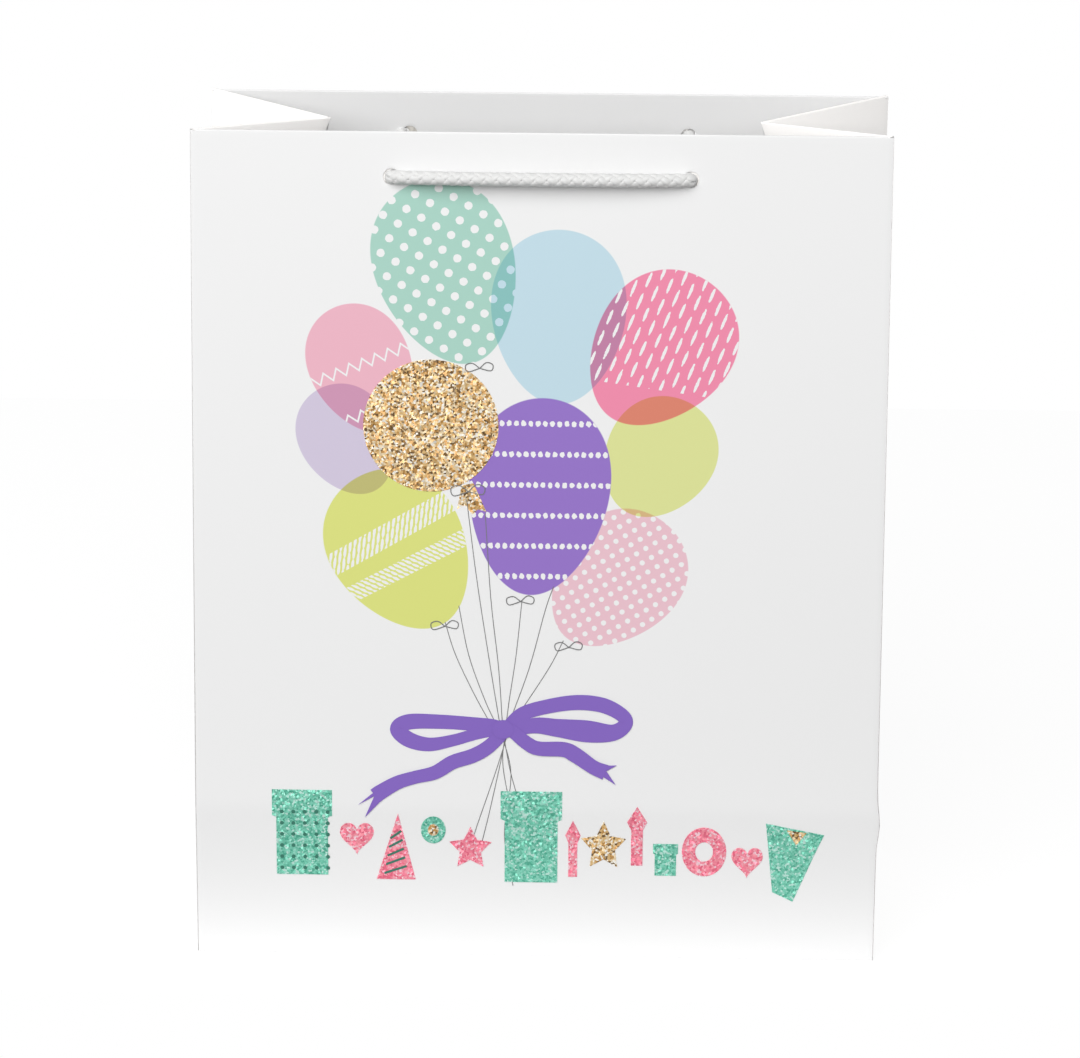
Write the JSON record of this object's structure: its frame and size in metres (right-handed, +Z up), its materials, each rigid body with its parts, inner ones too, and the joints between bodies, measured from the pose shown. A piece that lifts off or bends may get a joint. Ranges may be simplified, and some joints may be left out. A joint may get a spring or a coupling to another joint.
{
  "type": "gift bag",
  "caption": "Paper gift bag with side gussets, a turned-in top, a stiff base board and two white cord handles; front and back lean together and the gussets fold inwards.",
  "frame": {"origin": "middle of the base, on the surface the bag stands on", "axes": "+X to the right seen from the printed front, +Y from the front to the back, +Z up"},
  "size_m": [0.26, 0.12, 0.3188],
  "materials": {
    "printed_paper": "satin",
    "white_paper": "satin",
    "paper_inside": "matte",
    "reinforcing_card": "matte",
    "grey_board": "matte",
    "white_cord": "braided"
  },
  "bodies": {
    "root": {"back_base_flap": "white_paper", "back_lower_panel": "white_paper", "base_board": "grey_board", "front_base_flap": "white_paper", "front_lower_panel": "printed_paper", "left_base_flap": "white_paper", "left_gusset_back_corner": "white_paper", "left_gusset_base": "white_paper", "left_gusset_front_corner": "white_paper", "lower_glue_lap": "paper_inside", "right_base_flap": "white_paper", "right_gusset_back_corner": "white_paper", "right_gusset_base": "white_paper", "right_gusset_front_corner": "white_paper"},
    "front_panel": {"front_panel": "printed_paper", "front_reinforcing_card": "reinforcing_card", "front_hem": "paper_inside", "front_handle_cord": "white_cord", "front_left_knot": "white_cord", "front_right_knot": "white_cord"},
    "back_panel": {"back_panel": "white_paper", "back_reinforcing_card": "reinforcing_card", "back_hem": "paper_inside", "back_glue_lap": "paper_inside", "back_handle_cord": "white_cord", "back_left_knot": "white_cord", "back_right_knot": "white_cord"},
    "left_gusset_front": {"left_gusset_front_fold_side": "white_paper", "left_gusset_front_crease_side": "white_paper", "left_gusset_front_hem": "paper_inside"},
    "left_gusset_back": {"left_gusset_back_fold_side": "white_paper", "left_gusset_back_crease_side": "white_paper", "left_gusset_back_hem": "paper_inside"},
    "right_gusset_front": {"right_gusset_front_fold_side": "white_paper", "right_gusset_front_crease_side": "white_paper", "right_gusset_front_hem": "paper_inside"},
    "right_gusset_back": {"right_gusset_back_fold_side": "white_paper", "right_gusset_back_crease_side": "white_paper", "right_gusset_back_hem": "paper_inside"}
  },
  "joints": [
    {"name": "front_lean", "type": "hinge", "parent": "root", "child": "front_panel", "pos_m": [0, -0.0597, 0.05997], "axis": [-1, 0, 0], "range_deg": [-2.5, 6.5]},
    {"name": "back_lean", "type": "hinge", "parent": "root", "child": "back_panel", "pos_m": [0, 0.0597, 0.05997], "axis": [1, 0, 0], "range_deg": [-2.5, 6.5]},
    {"name": "left_front_fold", "type": "hinge", "parent": "front_panel", "child": "left_gusset_front", "pos_m": [-0.1297, -0.0597, 0.05997], "axis": [0, -0.0954, -0.9954], "range_deg": [-12, 31.2]},
    {"name": "left_back_fold", "type": "hinge", "parent": "back_panel", "child": "left_gusset_back", "pos_m": [-0.1297, 0.0597, 0.05997], "axis": [0, -0.0954, 0.9954], "range_deg": [-12, 31.2]},
    {"name": "right_front_fold", "type": "hinge", "parent": "front_panel", "child": "right_gusset_front", "pos_m": [0.1297, -0.0597, 0.05997], "axis": [0, 0.0954, 0.9954], "range_deg": [-12, 31.2]},
    {"name": "right_back_fold", "type": "hinge", "parent": "back_panel", "child": "right_gusset_back", "pos_m": [0.1297, 0.0597, 0.05997], "axis": [0, 0.0954, -0.9954], "range_deg": [-12, 31.2]}
  ],
  "couplings": [
    {"joint": "back_lean", "follows": "front_lean", "ratio": 1},
    {"joint": "left_front_fold", "follows": "front_lean", "ratio": 4.8},
    {"joint": "left_back_fold", "follows": "front_lean", "ratio": 4.8},
    {"joint": "right_front_fold", "follows": "front_lean", "ratio": 4.8},
    {"joint": "right_back_fold", "follows": "front_lean", "ratio": 4.8}
  ]
}
